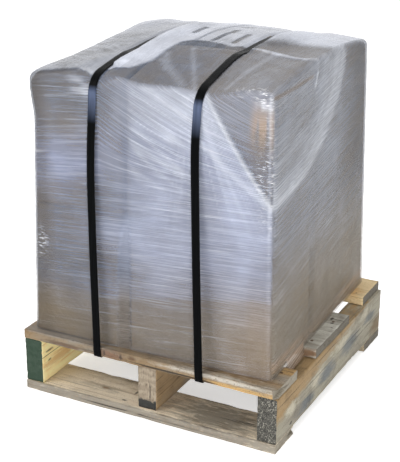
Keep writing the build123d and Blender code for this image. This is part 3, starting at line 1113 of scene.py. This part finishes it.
    sparkle = smooth(0.196, 0.215, x) * smooth(0.36, 0.43, z) * (0.45 + 0.55 * smooth(0.60, 0.62, z)) - gap
    sparkle = sparkle + 0.8 * smooth(0.176, 0.20, x) * hump(z, 0.50, 0.05)
    sparkle = sparkle + 0.5 * smooth(0.12, 0.2, x) * smooth(0.613, 0.622, z)
    return shape, haze, tone, sparkle + 1.3 * spot(x, z, (-0.224, 0.308), (0.022, 0.045))


def right_film(s, y, z):
    """The right: wrinkles that climb to the back, and a band of film that sweeps from corner to rim."""
    white, dusk, warm, board = tones(s, "white", "dusk", "warm", "board")
    climb = z - y * tan(radians(7))
    slant = 0.35 * crest(y / 0.12, climb / 0.010, 21) + 0.5 * crest(y / 0.22, climb / 0.035, 22)
    slant = slant * (0.45 + 0.55 * smooth(0.25, 0.45, z))
    sweep = np.hypot((y + 0.235) / 0.345, (z - 0.68) / 0.24)
    bearing = np.arctan2(z - 0.68, y + 0.235)
    arc_band = 0.35 * smooth(0.30, 0.80, sweep) + 0.65 * smooth(0.72, 0.95, sweep)
    arc_band = arc_band * smooth(1.04, 0.97, sweep)
    arc_band = arc_band * (0.75 + 0.25 * smooth(0.3, 0.7, ripple(sweep * 9, bearing * 0.8, 25)))
    arc_lines = crest(sweep * 42, bearing * 1.6, 24) * between(sweep, 0.35, 0.7, 0.99, 1.05)
    near_corner = crest(y / 0.02, z / 0.007, 23, 2) * smooth(-0.2, -0.24, y)
    far_end = smooth(0.04, 0.19, y) * smooth(0.28, 0.45, z)
    foot_edge = hump(z, 0.144, 0.026) * smooth(0.2, 0.7, ripple(y / 0.3, z / 0.005, 26))
    rim_line = hump(z, 0.628, 0.005) * smooth(-0.05, -0.07, y)
    bright_end = fold(y, z, rim_glint, 0.004)
    lip = smooth(0.150, 0.128, z) * slot_share(y)
    shape = s.wrinkle * (slant + 0.4 * arc_lines + 0.7 * near_corner) + slot_lip * lip + 0.0012 * bright_end
    haze = (
        0.44 + 0.14 * smooth(0.2, 0.5, z) + 0.24 * arc_band + 0.10 * arc_lines - 0.14 * far_end
        + 0.3 * bright_end - 0.25 * rim_line + 0.1 * foot_edge + 0.6 * lip + 0.10 * (slant - 0.3)
    )
    tone = tinted(warm * (1.30, 1.27, 1.18), smooth(0.2, 0.42, z), 0.36 * white + 0.64 * dusk)
    for share, target in (
        (0.62 * arc_band + 0.25 * arc_lines + bright_end, white),
        (0.95 * far_end * (1 - arc_band), 0.6 * dusk),
        (0.4 * rim_line + 0.85 * foot_edge, board * (0.84, 0.77, 0.66)),
        (0.9 * lip, board * (0.36, 0.31, 0.24)),
    ):
        tone = tinted(tone, share, target)
    sparkle = 0.6 * smooth(-0.215, -0.235, y) * smooth(0.36, 0.43, z) - lip
    return shape, haze, tone, sparkle - 0.45 * (1 - arc_band) * smooth(-0.225, -0.205, y)


def plain_film(s, across, z, seed, lean):
    """The left or the back: the same winding."""
    sky, dusk, warm = tones(s, "sky", "dusk", "warm")
    drift = z - across * tan(radians(lean))
    folds = 0.5 * crest(across / 0.14, drift / 0.010, seed)
    folds = folds + 0.4 * crest(across / 0.2, drift / 0.03, seed + 1)
    haze = 0.42 + 0.2 * smooth(0.22, 0.5, z) + 0.1 * (folds - 0.3)
    return s.wrinkle * folds, haze, tinted(warm, smooth(0.18, 0.4, z), 0.6 * sky + 0.4 * dusk), 0 * z


def top_film(s, x, y):
    """The top: pale film at the left and behind, a bright crease, clear film over the front slope."""
    white, sky, dusk, warm = tones(s, "white", "sky", "dusk", "warm")
    edge_x = np.interp(y, (-0.205, -0.194, -0.148, -0.092, -0.045, -0.027),
                       (-0.11, -0.064, -0.043, -0.042, -0.040, -0.021))
    behind_y = np.interp(x, (-0.021, 0.003, 0.036, 0.061, 0.095, 0.143, 0.217),
                         (-0.027, -0.027, -0.037, -0.047, -0.022, 0.022, 0.065))
    left_pale = smooth(0.004, -0.006, x - edge_x) * smooth(-0.236, -0.222, y)
    softer = smooth(0.09, 0.12, x)
    behind = smooth(-0.004 - 0.02 * softer, 0.006 + 0.03 * softer, y - behind_y) * smooth(-0.024, -0.016, x)
    pale = np.maximum(left_pale, behind)
    crease = fold(x, y, top_crease, 0.003 + 0.004 * smooth(0.10, 0.15, x))
    crease = crease * (0.35 + 0.65 * smooth(0.09, 0.13, x))
    ribs = crest((y + 0.7 * x) / 0.009, (x - 0.7 * y) / 0.07, 51, 4)
    ribs = ribs * smooth(-0.11, -0.17, x) * smooth(0.16, -0.02, y)
    strokes = np.max([smooth(0.0075, 0.0035, along_line(x, y, line)) for line in top_strokes], axis=0)
    rays = np.max([smooth(width, 0.0, along_line(x, y, line)) for width, line in top_rays], axis=0)
    pulls = crest(x / 0.11, (y + 0.3 * x) / 0.02, 53)
    brow = smooth(-0.226, -0.238, y) * smooth(-0.08, -0.1, x)
    mottle = ripple(x / 0.012, y / 0.02, 55) - 0.5
    shape = s.wrinkle * (0.6 * ribs + 0.5 * pulls) + 0.0020 * crease + 0.0012 * left_pale
    haze = (
        0.40 + 0.16 * smooth(0.06, 0.2, x) + 0.46 * pale + 0.3 * crease + 0.08 * (pulls - 0.3) + 0.15 * rays
        + 0.1 * ribs - 0.42 * strokes - 0.16 * brow
        + (0.14 * mottle - 0.1 * smooth(0.19, 0.215, x)) * (1 - pale)
    )
    whiteness = pale + crease + 0.35 * rays + 0.34 * smooth(0.05, 0.16, x) - brow - 0.8 * strokes
    tone = tinted(tinted(dusk, 0.45 * smooth(0.03, 0.10, x), warm), whiteness, 0.75 * white + 0.25 * sky)
    left_shade = 0.38 * smooth(-0.105, -0.118, x) * smooth(0.16, 0.02, y)
    tone = tone * (1.02 - 0.50 * ribs + 0.12 * left_pale * smooth(-0.108, -0.100, x) - left_shade)[:, None]
    return shape, haze, tone, 0.6 * smooth(0.11, 0.16, x) * smooth(-0.20, -0.225, y)


def relief(s, vertices, sides, topness):
    """How far each point stands off the plain form, how dense the film is there, its colour and sparkle."""
    x, y, z = vertices.T
    parts = (
        front_film(s, x, z), right_film(s, y, z), plain_film(s, x, z, 41, -7), plain_film(s, y, z, 31, 9),
        top_film(s, x, y),
    )
    shares = [(sides == k) * (1 - topness) for k in range(4)] + [topness]
    shape, haze, sparkle = (sum(share * part[k] for share, part in zip(shares, parts)) for k in (0, 1, 3))
    tone = sum(share[:, None] * part[2] for share, part in zip(shares, parts))
    upright_x = x + (z - deck_top) * tan(s.side_lean)
    # Painted highlight: a thin white glint down the front right corner, with denser film along it.
    corner = hump(upright_x, 0.2325, 0.0045) * (sides < 2) * smooth(-0.20, -0.225, y)
    corner = corner * (1 - topness) * (0.25 + 0.75 * smooth(0.36, 0.46, z))
    haze = np.clip(haze + 0.25 * corner, 0, 1)
    return shape, haze, tinted(tone, 0.5 * corner, *tones(s, "white")), np.clip(sparkle, -1, 1)


def winding(vertices, sides):
    """Along and across the direction in which the film was wound on each side."""
    x, y, z = vertices.T
    on_side = [sides == k for k in range(4)]
    along = np.select(on_side, [x, y, -x, -y], x)
    slope = np.select(on_side, [tan(radians(a)) for a in (3, 7, 5, 6)], 0.0)
    drawn_down = 0.5 * smooth(0.40, 0.60, z) * (np.clip(x, -0.10, 0.20) - 0.05) * on_side[0]
    return np.column_stack((along + 0.7 * sides, z - slope * along + drawn_down, 0 * z))


class LOAD_OT_film(bpy.types.Operator):
    """Winds the wrinkled stretch film round the cartons"""

    bl_idname = "pallet_load.film"
    bl_label = "Stretch Film"

    rim_level = 0.614
    rim_rows = 7

    def execute(self, context):
        s = context.scene.load_film
        box, outward, side, grid = film_columns(s.columns, s.corner_columns)
        rows, cap, on_top = self.form(s, box, outward)
        count = len(box)
        vertices = turned(np.concatenate((*rows[0], cap)), load_turn, load_middle)
        x, y = vertices[-len(cap):, :2].T
        vertices[-len(cap):, 2] = crown_height(s, x, y) + strap_bulge(x, y)
        directions = turned(np.concatenate((*rows[1], np.tile((0.0, 0.0, 1.0), (len(cap), 1)))), load_turn)
        topness = np.concatenate((np.repeat(on_top, count), np.ones(len(cap))))
        sides = np.concatenate((np.tile(side, len(on_top)), np.full(len(cap), 4)))
        shape, haze, tone, sparkle = relief(s, vertices, sides, topness)
        vertices = hung(swollen(vertices + directions * shape[:, None]), sides)
        vertices = under_straps(context.scene.load_straps, vertices, film_press)

        faces = self.faces(len(on_top), count, grid, s.columns)
        film = new_piece("wound_film", vertices, faces, [film_material(s)], ["stretch_film"])
        for name, values in (("haze", haze), ("on_top", topness), ("sparkle", sparkle)):
            film.data.attributes.new(name, "FLOAT", "POINT").data.foreach_set("value", values)
        for name, values in (("tone", tone), ("wind", winding(vertices, sides))):
            film.data.attributes.new(name, "FLOAT_VECTOR", "POINT").data.foreach_set("vector", values.ravel())
        return {"FINISHED"}

    def form(self, s, box, outward):
        """The plain form before the load's turn: rows of points and of outward directions from deck to rim,
        the cap's points in plan, and how far each row belongs to the top."""
        r = s.edge_radius
        draw_in = (self.rim_level - deck_top) * tan(s.side_lean)
        inner = film_foot - draw_in - r
        rim_top = crown_height(s, *turned(load_middle + box * inner, load_turn, load_middle).T)
        points, normals, on_top = [], [], []
        for t in np.linspace(0, 1, s.rows):
            plan = load_middle + box * (film_foot - draw_in * t - r) + outward * r
            points.append(np.column_stack((plan, deck_top + t * (rim_top - r - deck_top))))
            normals.append(np.column_stack((outward, 0 * rim_top)))
            on_top.append(0.0)
        for angle in np.linspace(0, pi / 2, self.rim_rows + 1)[1:-1]:
            plan = load_middle + box * inner + outward * r * cos(angle)
            points.append(np.column_stack((plan, rim_top - r + r * sin(angle))))
            normals.append(np.column_stack((outward * cos(angle), 0 * rim_top + sin(angle))))
            on_top.append((angle / (pi / 2)) ** 2)
        steps = np.linspace(-1, 1, s.columns + 1)
        plan = np.stack(np.meshgrid(steps, steps, indexing="ij"), axis=2).reshape(-1, 2)
        cap = np.column_stack((load_middle + plan * inner, np.zeros(len(plan))))
        return (points, normals), cap, on_top

    @staticmethod
    def faces(rows, count, grid, columns):
        """Quads up the sides, round the rim and over the cap."""
        first, across = rows * count, columns + 1
        made = []
        for i in range(rows - 1):
            made += ring_faces(i * count, (i + 1) * count, count)
        on_cap = [first + int(i) * across + int(j) for i, j in grid]
        for j in range(count):
            k = (j + 1) % count
            lower = (first - count + j, first - count + k, on_cap[k])
            made.append(lower if on_cap[j] == on_cap[k] else (*lower, on_cap[j]))
        for i in range(columns):
            for a in range(first + i * across, first + i * across + columns):
                made.append((a, a + across, a + across + 1, a + 1))
        return made


class LOAD_OT_straps(bpy.types.Operator):
    """Runs the two embossed straps round load and deck"""

    bl_idname = "pallet_load.straps"
    bl_label = "Straps"

    def execute(self, context):
        s = context.scene.load_straps
        material = self.plastic(s)
        w, t = s.width / 2, s.thickness
        across = (
            (-w, -0.5 * t), (-0.97 * w, 0), (-0.6 * w, 0), (0, 0), (0.6 * w, 0), (0.97 * w, 0),
            (w, -0.5 * t), (0.97 * w, -t), (0, -t), (-0.97 * w, -t),
        )
        count = len(across)
        for node in strap_bows:
            line, outward, x = strap_line(node, s)
            vertices, faces = [], []
            for i in range(len(line)):
                for aside, out in across:
                    vertices.append((x[i] + aside, *(line[i] + outward[i] * out)))
                faces += ring_faces(i * count, (i + 1) % len(line) * count, count, True)
            new_piece(f"band_{node}", vertices, faces, [material], [node])
        return {"FINISHED"}

    @staticmethod
    def plastic(s):
        """Black embossed plastic, scuffed, with a painted bluish sheen where it comes over the front rim."""
        look = Look("strap_plastic")
        scuffs = look.noise(look.places, (260, 40, 14), 5, 0.65)
        weave = look.add("TexChecker", {"Vector": look.places, "Scale": 900.0}).outputs["Fac"]
        apart = look.add("SeparateXYZ", {0: look.places}).outputs
        # Painted sheen: a bluish reflection painted in a band from 0.545 to 0.612 high on the straps' front,
        # broken up by the scuffs.
        painted_sheen = look.math(
            "MULTIPLY", look.ramp(apart["Z"], 0.545, 0.592), look.ramp(apart["Z"], 0.612, 0.600),
            look.ramp(apart["Y"], -0.15, -0.2, 0.0, 0.85), look.ramp(scuffs, 0.25, 0.6, 0.5, 1.0),
        )
        colour = look.mix(look.ramp(scuffs, 0.55, 0.8, 0.0, 0.6), s.colour, s.scuff)
        look.wear(Base_Color=look.mix(painted_sheen, colour, s.painted_sheen), Specular_IOR_Level=0.03,
                  Roughness=look.ramp(scuffs, 0.3, 0.7, 0.2, 0.36))
        look.bump(look.math("ADD", weave, scuffs), 0.25, 0.0002)
        return look.material


class LOAD_OT_stage(bpy.types.Operator):
    """Sets the pale floor, the soft light and the camera"""

    bl_idname = "pallet_load.stage"
    bl_label = "Stage"

    def execute(self, context):
        scene = context.scene
        s = scene.load_stage
        scene.view_settings.view_transform = "Standard"
        self.floor(scene, s)
        scene.world = bpy.data.worlds.new("studio_sky")
        sky = Nodes(scene.world)
        background = sky.tree.nodes["Background"].inputs
        background["Color"].default_value = (1, 1, 1, 1)
        sky.feed(background["Strength"], sky.ramp(sky.seen(), 0, 1, s.sky, 1.0))
        self.lamp(scene, "key_lamp", (-1.7, -2.5, 2.3), 1.8, s.key)
        self.lamp(scene, "top_lamp", (0.2, 0.5, 3.2), 2.2, s.top)
        self.lamp(scene, "low_lamp", (1.5, -2.2, 0.32), 0.9, s.low)
        self.camera(scene, s)
        return {"FINISHED"}

    @staticmethod
    def floor(scene, s, reach=30.0):
        """A pale floor that keeps the load's shadow and looks white."""
        look = Look("pale_floor")
        cloud = look.noise(look.places, 3, 3, 0.5)
        colour = look.mix(look.ramp(cloud, 0.3, 0.7), s.floor, srgb(246, 246, 246))
        glow = look.math("MULTIPLY", look.seen(), s.floor_glow)
        look.wear(Base_Color=colour, Roughness=0.9, Emission_Color=(1, 1, 1), Emission_Strength=glow)
        mesh = bpy.data.meshes.new("floor")
        corners = [(-reach, -reach, 0), (reach, -reach, 0), (reach, reach, 0), (-reach, reach, 0)]
        mesh.from_pydata(corners, [], [(0, 1, 2, 3)])
        mesh.materials.append(look.material)
        floor = bpy.data.objects.new("floor", mesh)
        scene.collection.objects.link(floor)

    @staticmethod
    def lamp(scene, name, place, size, power):
        """A soft square lamp aimed at the load."""
        lamp = bpy.data.lights.new(name, "AREA")
        lamp.shape, lamp.size, lamp.energy = "SQUARE", size, power
        stand = bpy.data.objects.new(name, lamp)
        stand.location = place
        stand.rotation_euler = (Vector((0, 0, 0.35)) - Vector(place)).to_track_quat("-Z", "Y").to_euler()
        scene.collection.objects.link(stand)

    @staticmethod
    def camera(scene, s):
        """The camera at the photograph's angle."""
        a, e = s.azimuth, s.elevation
        back = Vector((sin(a) * cos(e), -cos(a) * cos(e), sin(e)))
        right = Vector((cos(a), sin(a), 0))
        up = back.cross(right)
        across = right * cos(s.roll) + up * sin(s.roll)
        upward = up * cos(s.roll) - right * sin(s.roll)
        view = bpy.data.cameras.new("camera")
        view.sensor_width, view.lens, view.clip_end = 36.0, s.lens, 100
        camera = bpy.data.objects.new("camera", view)
        aim = Matrix((across, upward, back)).transposed().to_4x4()
        camera.matrix_world = Matrix.Translation(s.place) @ aim
        scene.collection.objects.link(camera)
        scene.camera = camera


class LOAD_PT_panel(bpy.types.Panel):
    """The steps that dress the load, in order"""

    bl_idname = "LOAD_PT_panel"
    bl_label = "Pallet Load"
    bl_space_type = "VIEW_3D"
    bl_region_type = "UI"
    bl_category = "Pallet Load"

    def draw(self, context):
        for operator in operators:
            self.layout.operator(operator.bl_idname)


settings_groups = {
    "load_timber": TimberSettings,
    "load_cartons": CartonSettings,
    "load_film": FilmSettings,
    "load_straps": StrapSettings,
    "load_stage": StageSettings,
}
operators = (LOAD_OT_timber, LOAD_OT_nails, LOAD_OT_cartons, LOAD_OT_film, LOAD_OT_straps, LOAD_OT_stage)
classes = (*settings_groups.values(), *operators, LOAD_PT_panel)


def register():
    for cls in classes:
        bpy.utils.register_class(cls)
    for name, group in settings_groups.items():
        setattr(bpy.types.Scene, name, PointerProperty(type=group))


def unregister():
    for name in settings_groups:
        delattr(bpy.types.Scene, name)
    for cls in reversed(classes):
        bpy.utils.unregister_class(cls)


def main():
    """Dresses the load."""
    register()
    bpy.ops.pallet_load.timber()
    bpy.ops.pallet_load.nails()
    bpy.ops.pallet_load.cartons()
    bpy.ops.pallet_load.film()
    bpy.ops.pallet_load.straps()
    bpy.ops.pallet_load.stage()


if __name__ == "__main__":
    main()
